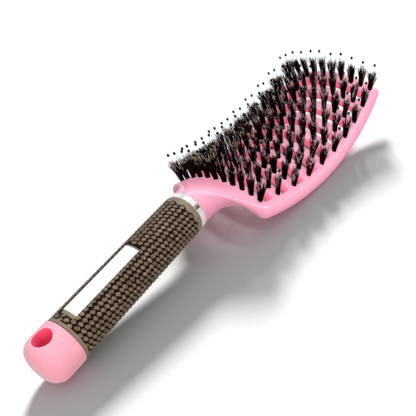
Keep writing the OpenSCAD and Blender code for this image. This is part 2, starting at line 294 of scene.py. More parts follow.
def pink_plastic(name, light, dark, sheen):
    """Pink plastic with a painted highlight, a lighter pink, along the mould's thin crests and the hang
    hole's rim, and a pale rim where sheen is given.
    """
    made, tree, shader = base_material(name, light, 0.4, Subsurface_Weight=0.2, Subsurface_Scale=0.002,
                                       Sheen_Weight=sheen, Sheen_Roughness=0.4)
    shader.inputs["Subsurface Radius"].default_value = (1.0, 0.25, 0.35)
    tint = mottled(tree, shader, light, dark, rough=(0.45, 0.52), patch_scale=40.0, grain_scale=1400.0,
                   grain=0.5, bump=0.08, bump_mm=0.05)
    # Painted highlight: the lighter pink is mixed in where the mesh marks a crest or the hole's rim
    crest = tree.nodes.new("ShaderNodeAttribute")
    crest.attribute_name = "crest"
    painted_highlight = tree.nodes.new("ShaderNodeMix")
    painted_highlight.data_type = "RGBA"
    painted_highlight.inputs["B"].default_value = (*HIGHLIGHT_PINK, 1)
    join(tree, (crest.outputs["Fac"], painted_highlight.inputs["Factor"]), (tint.outputs["Result"], painted_highlight.inputs["A"]),
         (painted_highlight.outputs["Result"], shader.inputs["Base Color"]))
    return made


def pink_inside_painted(name, light, dark, glow):
    """A wall inside the plastic, in a pink of its own with a faint painted glow, an emission, which stand
    in for the light inside and through the plastic.
    """
    made, tree, shader = base_material(name, light, 0.6, Specular_IOR_Level=0.2, Emission_Strength=glow,
                                       Emission_Color=(1.0, 0.12, 0.25, 1))
    mottled(tree, shader, light, dark, rough=(0.55, 0.65), patch_scale=60.0, grain_scale=1400.0,
            grain=0.5, bump=0.08, bump_mm=0.05)
    return made


def grip_rubber():
    made, tree, shader = base_material("grip_rubber", (0.225, 0.172, 0.115), 0.62, Specular_IOR_Level=0.3)
    mottled(tree, shader, (0.28, 0.203, 0.13), (0.06, 0.04, 0.024), rough=(0.5, 0.66), patch_scale=620.0,
            grain_scale=4200.0, grain=0.6, bump=0.25, bump_mm=0.06)
    return made


def groove_rubber():
    made, tree, shader = base_material("groove_rubber", (0.01, 0.006, 0.003), 0.85, Specular_IOR_Level=0.05)
    mottled(tree, shader, (0.014, 0.008, 0.004), (0.006, 0.003, 0.002), rough=(0.8, 0.9),
            patch_scale=500.0, grain_scale=4200.0, grain=0.6, bump=0.3, bump_mm=0.06)
    return made


def collar_rubber():
    made, tree, shader = base_material("collar_rubber", (0.22, 0.175, 0.12), 0.5, Specular_IOR_Level=0.3)
    mottled(tree, shader, (0.235, 0.188, 0.13), (0.2, 0.157, 0.107), rough=(0.45, 0.58), patch_scale=120.0,
            grain_scale=3600.0, grain=0.5, bump=0.15, bump_mm=0.05)
    return made


def ring_metal():
    """Bright metal with fine turned lines round it, which show in its roughness."""
    made, tree, shader = base_material("ring_metal", (0.9, 0.86, 0.86), 0.16, Metallic=1.0)
    coords = tree.nodes.new("ShaderNodeTexCoord")
    stretch = tree.nodes.new("ShaderNodeMapping")
    stretch.inputs["Rotation"].default_value = (0, TILT, 0)
    stretch.inputs["Scale"].default_value = (2500.0, 40.0, 40.0)
    lines = tree.nodes.new("ShaderNodeTexNoise")
    lines.inputs["Scale"].default_value = 1.0
    lines.inputs["Detail"].default_value = 2.0
    sheen = tree.nodes.new("ShaderNodeMapRange")
    sheen.inputs["To Min"].default_value = 0.13
    sheen.inputs["To Max"].default_value = 0.2
    join(tree, (coords.outputs["Object"], stretch.inputs["Vector"]),
         (stretch.outputs["Vector"], lines.inputs["Vector"]),
         (lines.outputs["Fac"], sheen.inputs["Value"]),
         (sheen.outputs["Result"], shader.inputs["Roughness"]))
    return made


def label_white():
    made, tree, shader = base_material("label_white", (0.93, 0.93, 0.93), 0.45)
    mottled(tree, shader, (0.94, 0.94, 0.94), (0.92, 0.92, 0.92), rough=(0.42, 0.5), patch_scale=90.0,
            grain_scale=5200.0, grain=0.4, bump=0.06, bump_mm=0.03)
    return made


def ramped(tree, value, start, stop):
    """A mask that grows from 0 to 1 as the value goes from start to stop."""
    step = tree.nodes.new("ShaderNodeMapRange")
    step.inputs["From Min"].default_value = start
    step.inputs["From Max"].default_value = stop
    tree.links.new(value, step.inputs["Value"])
    return step.outputs["Result"]


BRISTLE_BLACK = (0.003, 0.0006, 0.0008)
# Colour, the part of the length over which it comes in, and the tones between which it comes in:
# red-brown bristles, tan tips that are partly the bristles' colour and partly painted glints, and a few
# bristles pale from the middle up as painted glints
BRISTLE_TINTS_AND_GLINTS = (((0.028, 0.007, 0.009), (0.0, 0.5), (0.55, 0.65)),
                 ((0.9, 0.66, 0.5), (0.86, 0.95), (0.75, 0.78)),
                 ((0.8, 0.64, 0.62), (0.45, 0.7), (0.955, 0.96)))


def bristle_hair():
    made, tree, shader = base_material("bristle_hair", BRISTLE_BLACK, 0.6, Specular_IOR_Level=0.0)
    along = tree.nodes.new("ShaderNodeAttribute")
    along.attribute_name = "along"
    tone = tree.nodes.new("ShaderNodeAttribute")
    tone.attribute_name = "tone"
    colour = None
    for tint, part, tones in BRISTLE_TINTS_AND_GLINTS:
        both = tree.nodes.new("ShaderNodeMath")
        both.operation = "MULTIPLY"
        blend = tree.nodes.new("ShaderNodeMix")
        blend.data_type = "RGBA"
        blend.inputs["A"].default_value = (*BRISTLE_BLACK, 1)
        blend.inputs["B"].default_value = (*tint, 1)
        join(tree, (ramped(tree, along.outputs["Fac"], *part), both.inputs[0]),
             (ramped(tree, tone.outputs["Fac"], *tones), both.inputs[1]),
             (both.outputs["Value"], blend.inputs["Factor"]))
        if colour is not None:
            tree.links.new(colour, blend.inputs["A"])
        colour = blend.outputs["Result"]
    tree.links.new(colour, shader.inputs["Base Color"])
    return made


def clear_nylon():
    made, tree, shader = base_material("clear_nylon", (0.93, 0.91, 0.91), 0.3, Alpha=0.12)
    mottled(tree, shader, (0.94, 0.92, 0.92), (0.92, 0.9, 0.9), rough=(0.26, 0.34), patch_scale=300.0,
            grain_scale=3000.0, grain=0.4, bump=0.03, bump_mm=0.02)
    return made


def black_ball():
    made, tree, shader = base_material("black_ball", (0.006, 0.005, 0.005), 0.4, Specular_IOR_Level=0.15)
    mottled(tree, shader, (0.008, 0.006, 0.006), (0.004, 0.003, 0.003), rough=(0.36, 0.46),
            patch_scale=300.0, grain_scale=3000.0, grain=0.4, bump=0.05, bump_mm=0.03)
    return made


PINK = pink_plastic("pink_plastic", (0.955, 0.375, 0.52), (0.945, 0.36, 0.5), 0.0)
CAP_PINK = pink_plastic("pink_cap", (1.0, 0.4, 0.49), (0.99, 0.38, 0.47), 0.35)
# Walls of the hang hole and of the slots: painted light, a deeper pink in the hole and a brighter pink in
# the slots than outside, each with a painted glow
HOLE_PAINTED_PINK = pink_inside_painted("pink_in_hole_painted", (1.0, 0.12, 0.23), (0.95, 0.08, 0.17), 0.05)
SLOT_PAINTED_PINK = pink_inside_painted("pink_in_slots_painted", (1.0, 0.36, 0.54), (0.98, 0.33, 0.5), 0.3)
PEBBLE = grip_rubber()
GROOVE = groove_rubber()
COLLAR = collar_rubber()
METAL = ring_metal()
WHITE = label_white()
HAIR = bristle_hair()
NYLON = clear_nylon()
BALL = black_ball()


# The head and its neck: a grid is wrapped round the handle's axis, the slots are opened
# through both walls, and subdivision rounds what the mould rounds
SLOT_SHARES = (-1, -0.93, -0.78, -0.6, -0.4, -0.2, 0, 0.2, 0.4, 0.6, 0.78, 0.93, 1)
EDGE_STEPS = 8
# Turns round the ring, in degrees, at which the neck's lines leave it
RIDGE_TURN = 5.0
RIM_SHARE = 0.85
CORNER_TURN = 62.0
RIM_TURN = 54.0
NECK_DIP = 1.2
NECK_STEPS = 12
# How far the neck's lines run straight out of the ring, and straight into the head
NECK_RUN, RIDGE_RUN, SIDE_RUN = 13.0, 8.0, 28.0
DECK_RUN, SHOULDER_RUN, CREST_RUN = 7.0, 5.0, 1.8
NECK_LIFT = 3.0
RIDGE_RISE = 0.8
RIDGE_CREASE = 1.0
SLOT_CREASE = 0.85
# How strongly a painted highlight lightens the crests of the neck, those of the rails, and the rim of the
# hang hole
CREST_HIGHLIGHT = 0.85
RAIL_HIGHLIGHT = CREST_HIGHLIGHT * 0.15
HOLE_RIM_HIGHLIGHT = CREST_HIGHLIGHT * 0.5
# The head begins a little past the middle of its first row, and its far edge is rounded in steps
START_PAST = 1.0
START_TURN = row_turn(0) + START_PAST / FACE_R
END_TURNS = (20, 40, 60, 76, 90)
# The lower wall is thinner between the rails, up to this distance from a slot's end
SLOT_END = 0.1


def section(edge, half, rim, slot, relief):
    """Points round the mould: way across, height, turn round the handle in degrees, way down the side."""
    mid = CREST - RAIL_HALF
    top, low, wide = mid + half, mid - half, RAIL_WIDE * half
    flat = edge - wide
    dip = half / RAIL_HALF * CREST
    face = [-1] + [s * slot / rim for s in SLOT_SHARES] + [1]
    upper = [(s * rim, top - dip, s * RIDGE_TURN * RIM_SHARE, 0) for s in face]
    lower = [(-s * rim, low + (relief if abs(s) * rim < slot - SLOT_END else 0), 180 + s * RIM_TURN, 1)
             for s in face]
    right, left = [], []
    for i in range(1, EDGE_STEPS):
        a = math.pi / 2 - math.pi * i / EDGE_STEPS
        down = i / EDGE_STEPS
        across, height = flat + wide * math.cos(a), half * math.sin(a)
        right.append((across, mid + height, mix(RIDGE_TURN, 180 - CORNER_TURN, down), down))
        left.append((-across, mid - height, mix(180 + CORNER_TURN, 360 - RIDGE_TURN, down), 1 - down))
    return ([(-flat, top, -RIDGE_TURN, 0)] + upper + [(flat, top, RIDGE_TURN, 0)] + right
            + [(flat, low, 180 - CORNER_TURN, 1)] + lower + [(-flat, low, 180 + CORNER_TURN, 1)] + left)


def bezier(p0, p1, p2, p3, t):
    s = 1 - t
    return p0 * s ** 3 + p1 * 3 * s * s * t + p2 * 3 * s * t * t + p3 * t ** 3


def neck_ring(t):
    """Ring of points round the neck, from the metal ring at 0 to the head's first section at 1."""
    edge = edge_half(START_TURN)
    ring = []
    for across, height, fan, down in section(edge, RAIL_HALF, rim_at(edge, START_TURN), row_half(0), 0):
        way = min(1, abs(across) / (edge - RAIL_WIDE * RAIL_HALF))
        a = math.radians(fan)
        start = Vector((0, NECK_R * math.sin(a), NECK_R * math.cos(a)))
        stop = head_point(START_TURN, across, height)
        lift = Vector((0, 0, NECK_LIFT * max(0, -math.cos(a))))
        lead = mix(NECK_RUN, mix(RIDGE_RUN, SIDE_RUN, down), way ** 3)
        back = mix(DECK_RUN, mix(CREST_RUN, SHOULDER_RUN, down), way * way)
        down_hollow = Vector((math.cos(START_TURN), 0, math.sin(START_TURN)))
        p = bezier(start, start + Vector((lead, 0, 0)) + lift, stop - back * down_hollow + lift, stop, t)
        if down == 0:
            p.z -= NECK_DIP * math.sin(math.pi * t) * (1 - (fan / RIDGE_TURN) ** 2)
            if abs(fan) == RIDGE_TURN:
                p.z += RIDGE_RISE * math.sin(math.pi * t)
        ring.append(p)
    return ring


def head_stations():
    """Rings of the mould from the neck to the far end, and for each slot its first and last ring."""
    rings = [neck_ring(j / NECK_STEPS) for j in range(NECK_STEPS)]
    slots = []

    def add(turn, slot, relief=0.0):
        edge = edge_half(turn)
        points = section(edge, RAIL_HALF, rim_at(edge, turn), slot, relief)
        rings.append([head_point(turn, p[0], p[1]) for p in points])

    half_rib = RIB_W / 2 / FACE_R
    thin = RAIL_T - RIB_T
    slot_halves = [max(row_half(k), row_half(k + 1)) for k in range(ROWS - 1)]
    add(START_TURN, row_half(0))
    for k, slot in enumerate(slot_halves):
        start, stop = rib_turn(k) + half_rib, rib_turn(k + 1) - half_rib
        add(start, slot, thin if k > 0 else 0.0)
        first = len(rings) - 1
        add((start + stop) / 2, slot)
        add(stop, slot, thin if k < ROWS - 2 else 0.0)
        slots.append((first, len(rings) - 1))
        if k < ROWS - 2:
            add(rib_turn(k + 1), (slot + slot_halves[k + 1]) / 2, thin)
    end_turn = row_turn(ROWS - 1) + (END_IN - RAIL_HALF) / FACE_R
    add(mix(rib_turn(ROWS - 1) - half_rib, end_turn, 0.5), row_half(ROWS - 1))
    add(end_turn, row_half(ROWS - 1))
    for degrees in END_TURNS:
        a = math.radians(degrees)
        edge = edge_half(end_turn) - CORNER_R * (1 - math.cos(a))
        half = RAIL_HALF * math.cos(a)
        rim = rim_at(edge - RAIL_WIDE * (RAIL_HALF - half), end_turn)
        points = section(edge, half, rim, row_half(ROWS - 1), 0.0)
        turn = end_turn + RAIL_HALF * math.sin(a) / FACE_R
        rings.append([head_point(turn, p[0], p[1]) for p in points])
    return rings, slots


def head_shell():
    """The pink moulding of neck and head, with its slots opened."""
    rings, slots = head_stations()
    around = len(rings[0])
    bm = bmesh.new()
    bmesh.ops.create_grid(bm, x_segments=len(rings) - 1, y_segments=around, size=1)
    crease = bm.edges.layers.float.new("crease_edge")
    sharp_corner = bm.verts.layers.float.new("crease_vert")
    painted_highlight = bm.verts.layers.float.new("crest")
    # Each point of the grid is known by its ring and by its column round the mould
    place = {v: (round((v.co.x + 1) / 2 * (len(rings) - 1)), round((v.co.y + 1) / 2 * around))
             for v in bm.verts}
    columns = len(SLOT_SHARES) - 1
    upper = range(2, 2 + columns)
    lower = range(upper.stop + EDGE_STEPS + 4, upper.stop + EDGE_STEPS + 4 + columns)
    opened, rims, corners = [], [], []
    for first, last in slots:
        for wall in (upper, lower):
            corners += [v for v in bm.verts
                        if place[v][0] in (first, last) and place[v][1] in (wall.start, wall.stop)]
            faces = []
            for f in bm.faces:
                i, j = (min(place[v][n] for v in f.verts) for n in (0, 1))
                if first <= i < last and j in wall:
                    faces.append(f)
            inside = set(faces)
            rims.append([e for f in faces for e in f.edges if not all(g in inside for g in e.link_faces)])
            opened += faces
    for v, (i, j) in place.items():
        v.co = rings[i][j % around]
    for rim in rims:
        for e in rim:
            e[crease] = SLOT_CREASE
    for v in corners:
        v[sharp_corner] = 1.0
    ridges = (0, upper.stop + 2, around)
    # The crests of the neck and of the rails get a painted highlight
    for v, (i, j) in place.items():
        if j in ridges:
            v[painted_highlight] = CREST_HIGHLIGHT if i <= NECK_STEPS else RAIL_HIGHLIGHT
    for e in bm.edges:
        (i, j), (m, n) = (place[v] for v in e.verts)
        if j == n and j in ridges and max(i, m) <= NECK_STEPS:
            e[crease] = RIDGE_CREASE
    bmesh.ops.delete(bm, geom=opened, context="FACES")
    # The slots' walls take the pink with painted light and a painted glow
    for k in range(len(slots)):
        for f in bmesh.ops.bridge_loops(bm, edges=rims[2 * k] + rims[2 * k + 1])["faces"]:
            f.material_index = 1
    bmesh.ops.remove_doubles(bm, verts=bm.verts, dist=1e-4)
    open_end = [e for e in bm.edges if e.is_boundary]
    for e in open_end:
        e[crease] = 1.0
    bmesh.ops.holes_fill(bm, edges=open_end, sides=0)
    made = piece(bm, "head_shell", [PINK, SLOT_PAINTED_PINK], ["head_frame"])
    smooth = made.modifiers.new("moulded", "SUBSURF")
    smooth.levels = smooth.render_levels = 2
    return made


# Turned pieces: a profile of (place along the handle, radius) is spun round the handle's axis
def turned(bm, profile, steps):
    rail = [bm.verts.new((x, 0, r)) for x, r in profile]
    edges = [bm.edges.new(pair) for pair in zip(rail, rail[1:])]
    bmesh.ops.spin(bm, geom=rail + edges, cent=(0, 0, 0), axis=(1, 0, 0), angle=2 * math.pi, steps=steps,
                   use_merge=True)
    bmesh.ops.remove_doubles(bm, verts=bm.verts, dist=1e-5)


def arc(x, r, radius, start, stop, steps):
    """Points on a circle in the profile's plane, from one angle to another, in degrees."""
    turns = [math.radians(mix(start, stop, i / steps)) for i in range(steps + 1)]
    return [(x + radius * math.cos(a), r + radius * math.sin(a)) for a in turns]


CAP_STEPS = 128
HOLE_STEPS = 96
CUTTER_PAST = 3


def cap_shell():
    """The pink cap with its hang hole, whose rim is rounded."""
    bm = bmesh.new()
    profile = [(CAP_END_X, 0)] + arc(CAP_END_X + CAP_ROUND, CAP_R - CAP_ROUND, CAP_ROUND, 180, 90, 18)
    profile += [(mix(CAP_END_X + CAP_ROUND, JOINT_X - CAP_EDGE, i / 4), CAP_R) for i in (1, 2, 3)]
    profile += arc(JOINT_X - CAP_EDGE, CAP_R - CAP_EDGE, CAP_EDGE, 90, 0, 5) + [(JOINT_X, 0)]
    turned(bm, profile, CAP_STEPS)
    bmesh.ops.recalc_face_normals(bm, faces=bm.faces)
    body = bpy.data.objects.new("cap_body", kept(bm))
    scene.collection.objects.link(body)

    # The cutter of the hang hole flares where it meets the cap's surface
    def surface(x, y):
        past = max(0, CAP_END_X + CAP_ROUND - x)
        r = CAP_R - CAP_ROUND + math.sqrt(max(0, CAP_ROUND ** 2 - past ** 2))
        return math.sqrt(max(0, r * r - y * y))

    bm = bmesh.new()
    ring = bmesh.ops.create_circle(bm, segments=HOLE_STEPS, radius=HOLE_R)["verts"]
    levels = [(math.radians(a), -1) for a in range(90, -1, -15)]
    levels += [(math.radians(a), 1) for a in range(0, 91, 15)]
    loops = [ring]
    edges = list(bm.edges)
    for _ in range(len(levels) + 1):
        out = bmesh.ops.extrude_edge_only(bm, edges=edges)["geom"]
        loops.append([g for g in out if isinstance(g, bmesh.types.BMVert)])
        edges = [g for g in out if isinstance(g, bmesh.types.BMEdge)]
        edges = [e for e in edges if all(v in loops[-1] for v in e.verts)]
    sides = [levels[0]] + levels + [levels[-1]]
    for n, loop in enumerate(loops):
        a, side = sides[n]
        for v in loop:
            turn = math.atan2(v.co.y, v.co.x)
            r = HOLE_R + HOLE_FILLET * (1 - math.cos(a))
            x, y = HOLE_X + r * math.cos(turn), r * math.sin(turn)
            h = surface(x, y) - HOLE_FILLET + HOLE_FILLET * math.sin(a)
            if n in (0, len(loops) - 1):
                h = CAP_R + CUTTER_PAST
            v.co = (x, y, side * h)
    bmesh.ops.holes_fill(bm, edges=[e for e in bm.edges if e.is_boundary], sides=0)
    bmesh.ops.recalc_face_normals(bm, faces=bm.faces)
    cutter = bpy.data.objects.new("cap_cutter", kept(bm))
    scene.collection.objects.link(cutter)
    cut = body.modifiers.new("hole", "BOOLEAN")
    cut.object, cut.operation, cut.solver = cutter, "DIFFERENCE", "EXACT"
    bpy.context.view_layer.update()
    done = bpy.data.meshes.new_from_object(body.evaluated_get(bpy.context.evaluated_depsgraph_get()))
    for spare in (body, cutter):
        bpy.data.objects.remove(spare)
    bm = bmesh.new()
    bm.from_mesh(done)
    # The hang hole's rounded rim gets a painted highlight
    painted_highlight = bm.verts.layers.float.new("crest")
    away = {v: math.hypot(v.co.x - HOLE_X, v.co.y) for v in bm.verts}
    for v in bm.verts:
        if HOLE_R + HOLE_FILLET * 0.1 < away[v] < HOLE_R + HOLE_FILLET * 0.95:
            v[painted_highlight] = HOLE_RIM_HIGHLIGHT
    # The hole's wall takes the pink with painted light and a painted glow
    for f in bm.faces:
        if all(away[v] < HOLE_R + HOLE_FILLET / 3 for v in f.verts):
            f.material_index = 1
    return piece(bm, "cap_shell", [CAP_PINK, HOLE_PAINTED_PINK], ["end_cap"], sharp=32)


RING_STEPS = 160
RING_FLAT_IN = 0.1


def ring_shell():
    """The metal ring, with a small rounded edge at each end."""
    bm = bmesh.new()
    left, right, r = -RING_W + RING_EDGE, -RING_EDGE, RING_R - RING_EDGE
    profile = [(-RING_W, RING_SEAT)] + arc(left, r, RING_EDGE, 180, 90, 5)
    profile += [(left + RING_FLAT_IN, RING_R), (right - RING_FLAT_IN, RING_R)]
    profile += arc(right, r, RING_EDGE, 90, 0, 5) + [(0, RING_SEAT), (-RING_W, RING_SEAT)]
    turned(bm, profile, RING_STEPS)
    return piece(bm, "ring_shell", [METAL], ["ferrule_ring"], sharp=32)


# The grip: a dark body carries the pebbles, the two collars and the label's border
def wrapped(x, around, radius):
    """Point over the grip: place along the handle, way round from the top, distance from the axis."""
    a = around / GRIP_R
    return Vector((x, radius * math.sin(a), radius * math.cos(a)))


GRIP_GAP = 0.05
GRIP_BORE = 8.8
GRIP_END = 0.4
GRIP_STEPS = 96


def grip_body():
    """The smooth dark ground that shows between the pebbles."""
    bm = bmesh.new()
    back, front = JOINT_X + GRIP_GAP, -RING_W - GRIP_GAP
    profile = [(back, GRIP_BORE), (back, FIELD_R - GRIP_END), (back + GRIP_END, FIELD_R),
               (front - GRIP_END, FIELD_R), (front, FIELD_R - GRIP_END), (front, GRIP_BORE)]
    turned(bm, profile + profile[:1], GRIP_STEPS)
    return piece(bm, "grip_body", [GROOVE], ["grip_sleeve"], sharp=30)


SCALLOPS = 12
COLLAR_SEAT = 9.6
# How a collar's edge falls to the field: share of the collar's length, distance from the axis
COLLAR_FALL = ((0.5, GRIP_R), (0.82, GRIP_R), (0.95, GRIP_R - 0.05), (1.0, GRIP_R - 0.2),
               (1.0, FIELD_R - 0.3))


def collar(name, x_face, x_field, wave, soft, drop):
    """A smooth band with a rounded outer edge and a scalloped edge towards the pebbles."""
    toward = 1 if x_field > x_face else -1
    bm = bmesh.new()
    steps = 16 * SCALLOPS
    turns = [math.radians(degrees) for degrees in (0, 15, 30, 45, 60, 75, 90)]
    rows = [(0, COLLAR_SEAT)]
    rows += [(soft * (1 - math.cos(a)), GRIP_R - drop + drop * math.sin(a)) for a in turns]
    count = len(rows) + len(COLLAR_FALL)
    bmesh.ops.create_grid(bm, x_segments=count - 1, y_segments=steps, size=1)
    for v in bm.verts:
        i = round((v.co.x + 1) / 2 * (count - 1))
        a = (v.co.y + 1) * math.pi
        length = abs(x_field - x_face) + wave * math.cos(SCALLOPS * a)
        if i < len(rows):
            along, r = rows[i]
        else:
            share, r = COLLAR_FALL[i - len(rows)]
            along = mix(soft, length, share)
        v.co = (x_face + toward * along, r * math.sin(a), r * math.cos(a))
    bmesh.ops.remove_doubles(bm, verts=bm.verts, dist=1e-4)
    bmesh.ops.bridge_loops(bm, edges=[e for e in bm.edges if e.is_boundary])
    return piece(bm, name, [COLLAR], sharp=40)


# Way round the grip of the label's middle; the columns of pebbles are counted from the top
LABEL_AROUND = -LABEL_TURN * GRIP_R
# The bars' ends along the grip, and round it from the label's middle
LABEL_BARS = ((LABEL_X1 - 1.75, LABEL_X1 - 0.08, -LABEL_W / 2 - 0.1, LABEL_W / 2 - 0.4),
              (LABEL_X2 + 0.4, LABEL_X2 + 0.9, -LABEL_W / 2, LABEL_W / 2 - 0.2))
BAR_FOOT, BAR_TOP = FIELD_R - 0.3, GRIP_R - 0.06
BAR_EDGE = 0.12
BAR_STRIPS = 12


def label_border():
    """Two smooth bars of the grip across the ends of the label plate."""
    bm = bmesh.new()
    for x0, x1, y0, y1 in LABEL_BARS:
        for v in bmesh.ops.create_cube(bm, size=1)["verts"]:
            x, y, z = (along + 0.5 for along in v.co)
            v.co = (mix(x0, x1, x), mix(y0, y1, y), mix(BAR_FOOT, BAR_TOP, z))
    for n in range(1, BAR_STRIPS):
        across = mix(-LABEL_W / 2, LABEL_W / 2, n / BAR_STRIPS)
        bmesh.ops.bisect_plane(bm, geom=list(bm.verts) + list(bm.edges) + list(bm.faces),
                               plane_co=(0, across, 0), plane_no=(0, 1, 0))
    rims = [e for e in bm.edges if e.calc_face_angle(0) > 1 and min(v.co.z for v in e.verts) > FIELD_R]
    bmesh.ops.bevel(bm, geom=rims, offset=BAR_EDGE, segments=2, profile=0.5, affect="EDGES", material=-1)
    for v in bm.verts:
        v.co = wrapped(v.co.x, v.co.y + LABEL_AROUND, v.co.z)
    return piece(bm, "label_border", [COLLAR], sharp=35)


PEBBLE_COLUMNS = 2 * SCALLOPS
PEBBLE_PITCH = 2.38
PEBBLE_ROWS = 33
FIRST_PEBBLE = -7.95
PEBBLE_TOP = GRIP_R - FIELD_R
COLUMN_PITCH = 2 * math.pi * GRIP_R / PEBBLE_COLUMNS
PEBBLE_HALF = (1.03, 1.3)
PEBBLE_FOOT = 0.35
PEBBLE_WAVE = 0.07
NOTCH_AT, NOTCH_WIDE = math.radians(215), 0.36
# A pebble rises from its foot in steps: how far each goes up, and how much narrower it is
PEBBLE_STEPS = ((PEBBLE_FOOT + PEBBLE_TOP * 0.62, 0.05), (PEBBLE_TOP * 0.22, 0.09),
                (PEBBLE_TOP * 0.13, 0.26))
PEBBLE_HOLLOW = PEBBLE_TOP * 0.3
# Turn in degrees, depth of the notch and place of the outline's three waves
PEBBLE_KINDS = ((14, 0.48, 1.0), (22, 0.55, 0.6), (8, 0.4, 1.4), (26, 0.5, 2.0), (18, 0.44, 0.2))
PEBBLE_SIZES = (0.95, 1.03)
PEBBLE_ASTRAY = 0.07
# The room that the label takes from the pebbles, and the column that is cut straight along it
LABEL_SIDES = (-LABEL_W / 2 - 1.1, LABEL_W / 2 + 1.3)
LABEL_ENDS = (LABEL_X1 - 2.2, LABEL_X2 + 1.6)
CUT_COLUMN = (-LABEL_W / 2 - 1.45, -LABEL_W / 2)
CUT_ENDS = (LABEL_X1 - 0.9, LABEL_X2 + 0.9)
CUT_LINE = -LABEL_W / 2 - 0.14


def between(ends, value):
    return ends[0] < value < ends[1]


def pebble_pattern(turn, notch, skew):
    """One raised pebble on a flat ground: X along the handle, Y round it."""
    bm = bmesh.new()
    bmesh.ops.create_circle(bm, cap_ends=True, segments=16, radius=1)
    for v in bm.verts:
        a = math.atan2(v.co.y, v.co.x)
        dent = math.exp(-(math.remainder(a - NOTCH_AT, 2 * math.pi) / NOTCH_WIDE) ** 2)
        r = 1 + PEBBLE_WAVE * math.cos(3 * a + skew) - notch * dent
        outline = Vector((PEBBLE_HALF[0] * r * math.cos(a), PEBBLE_HALF[1] * r * math.sin(a)))
        p = Matrix.Rotation(turn, 2) @ outline
        v.co = (p.x, p.y, -PEBBLE_FOOT)
    cap = list(bm.faces)
    for rise, inset in PEBBLE_STEPS:
        cap = bmesh.ops.extrude_discrete_faces(bm, faces=cap)["faces"]
        middle = cap[0].calc_center_median()
        for v in cap[0].verts:
            v.co = middle + (v.co - middle) * (1 - inset) + Vector((0, 0, rise))
    hollow = bmesh.ops.poke(bm, faces=cap)["verts"][0]
    hollow.co.z -= PEBBLE_HOLLOW
    return kept(bm)


def grip_pebbles():
    """Columns of pebbles along the grip, each second one half a pebble further, with room for the label."""
    patterns = [pebble_pattern(math.radians(turn), notch, skew) for turn, notch, skew in PEBBLE_KINDS]
    bm = bmesh.new()
    for column in range(PEBBLE_COLUMNS):
        around = -column * COLUMN_PITCH
        aside = math.remainder(around - LABEL_AROUND, 2 * math.pi * GRIP_R)
        cut = between(CUT_COLUMN, aside)
        for row in range(PEBBLE_ROWS - column % 2):
            x = FIRST_PEBBLE - (row + 0.5 * (column % 2)) * PEBBLE_PITCH
            if between(LABEL_SIDES, aside) and not cut and between(LABEL_ENDS, x):
                continue
            first = len(bm.verts)
            bm.from_mesh(dice.choice(patterns))
            bm.verts.ensure_lookup_table()
            size = dice.uniform(*PEBBLE_SIZES)
            astray_y, astray_x = dice.gauss(0, PEBBLE_ASTRAY), dice.gauss(0, PEBBLE_ASTRAY)
            for v in bm.verts[first:]:
                y = around + astray_y + v.co.y * size
                if cut and between(CUT_ENDS, x):
                    y = min(y, LABEL_AROUND + CUT_LINE)
                v.co = wrapped(x + astray_x + v.co.x * size, y, FIELD_R + v.co.z)
    return piece(bm, "grip_pebbles", [PEBBLE], sharp=50)


# Tufts and pins
ROOT_IN = 1.0
ROOT_R = 1.18
TUFT_KINDS = 8
STRANDS = 96
STRAND_THICK = (0.15, 0.21)
# Shortest, longest and most common length of a bristle, as shares of its spike's length
STRAND_SHARES = (0.55, 1.12, 1.04)
STRAND_ASTRAY = 0.07
STRAND_TURN, STRAND_TURN_VARIES = 2.39996, 0.3
STRAND_TAPER = 0.5
GATHER = 0.35
# The spikes of a tuft: their reach from its middle, and their lean outwards in degrees
SPIKES = 6
SPIKE_REACH, MIDDLE_REACH = 0.68, 0.1
SPIKE_LEAN, MIDDLE_LEAN, LEAN_VARIES = (3.5, 8.0), 1.0, 2.5
SPIKE_PLACE_VARIES = 0.25
SPIKE_LENGTH_VARIES = 0.05
# Bristles whose roots share a patch of this width share their tone
CLUMP = 0.6
TUFT_WOBBLE, PIN_WOBBLE = 1.6, 1.2
PIN_STRETCH = (1.0, 1.06)
PIN_TAPER = 0.85
BALL_SHAPE = Vector((0.92, 0.92, 1.18))


def strand_pattern():
    """One bristle of unit size: three-sided, upright, cut into four lengths so that it can bend."""
    bm = bmesh.new()
    bmesh.ops.create_cone(bm, cap_ends=True, segments=3, radius1=1, radius2=1, depth=1)
    bmesh.ops.translate(bm, verts=bm.verts, vec=(0, 0, 0.5))
    upright = [e for e in bm.edges if abs(e.verts[0].co.z - e.verts[1].co.z) > 0.5]
    bmesh.ops.subdivide_edges(bm, edges=upright, cuts=3, use_grid_fill=True)
    return kept(bm)


